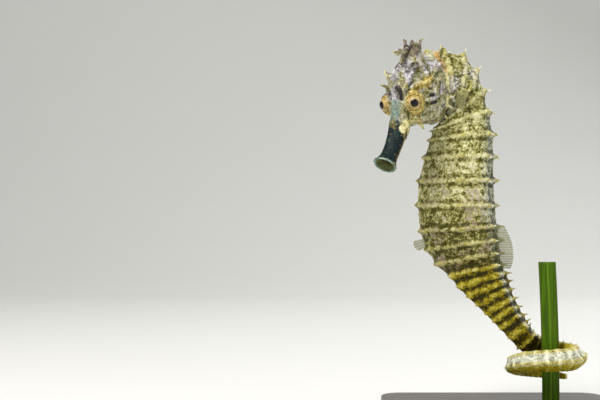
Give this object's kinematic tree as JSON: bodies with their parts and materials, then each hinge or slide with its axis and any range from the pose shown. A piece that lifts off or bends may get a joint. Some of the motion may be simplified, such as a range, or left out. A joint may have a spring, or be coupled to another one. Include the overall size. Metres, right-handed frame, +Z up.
{
  "type": "seahorse",
  "caption": "Life-size museum model of a spiny seahorse whose tail grips a short upright eelgrass blade, held over a flat base by a thin rod.",
  "frame": {"origin": "middle of the underside of the display base", "axes": "+Z up along the upright animal, +Y to the back, +X to the right; the animal's trunk faces -X and its head turns toward -Y"},
  "size_m": [0.0639, 0.046, 0.0996],
  "materials": {
    "skin_head": "bony skin, speckled olive on cream with grey and orange patches, satin",
    "skin_body": "bony ringed skin, olive brown speckles on pale yellow cream, satin",
    "skin_tail": "bony ringed skin, ochre yellow with dark grooves and white specks, satin",
    "eye": "glossy wet eye, golden iris round a black pupil",
    "fin": "thin translucent membrane with pale rays",
    "blade": "smooth green leaf with fine lengthwise veins, satin",
    "stand_steel": "brushed steel rod",
    "stand_wood": "dark stained hardwood, satin varnish"
  },
  "bodies": {
    "root": {"head": "skin_head", "snout": "skin_head", "coronet": "skin_head", "eye_left": "eye", "eye_right": "eye", "neck": "skin_body", "trunk_upper": "skin_body", "trunk_middle": "skin_body", "trunk_lower": "skin_body", "tail_base": "skin_tail", "tail_shank": "skin_tail", "tail_bend": "skin_tail", "tail_coil_back": "skin_tail", "tail_coil_right": "skin_tail", "tail_coil_front": "skin_tail", "tail_coil_left": "skin_tail", "tail_end": "skin_tail", "tail_tip": "skin_tail", "pectoral_fin_left": "fin", "pectoral_fin_right": "fin", "dorsal_fin": "fin", "anal_fin": "fin", "perch_blade": "blade", "stand_rod": "stand_steel", "stand_base": "stand_wood"}
  },
  "joints": []
}
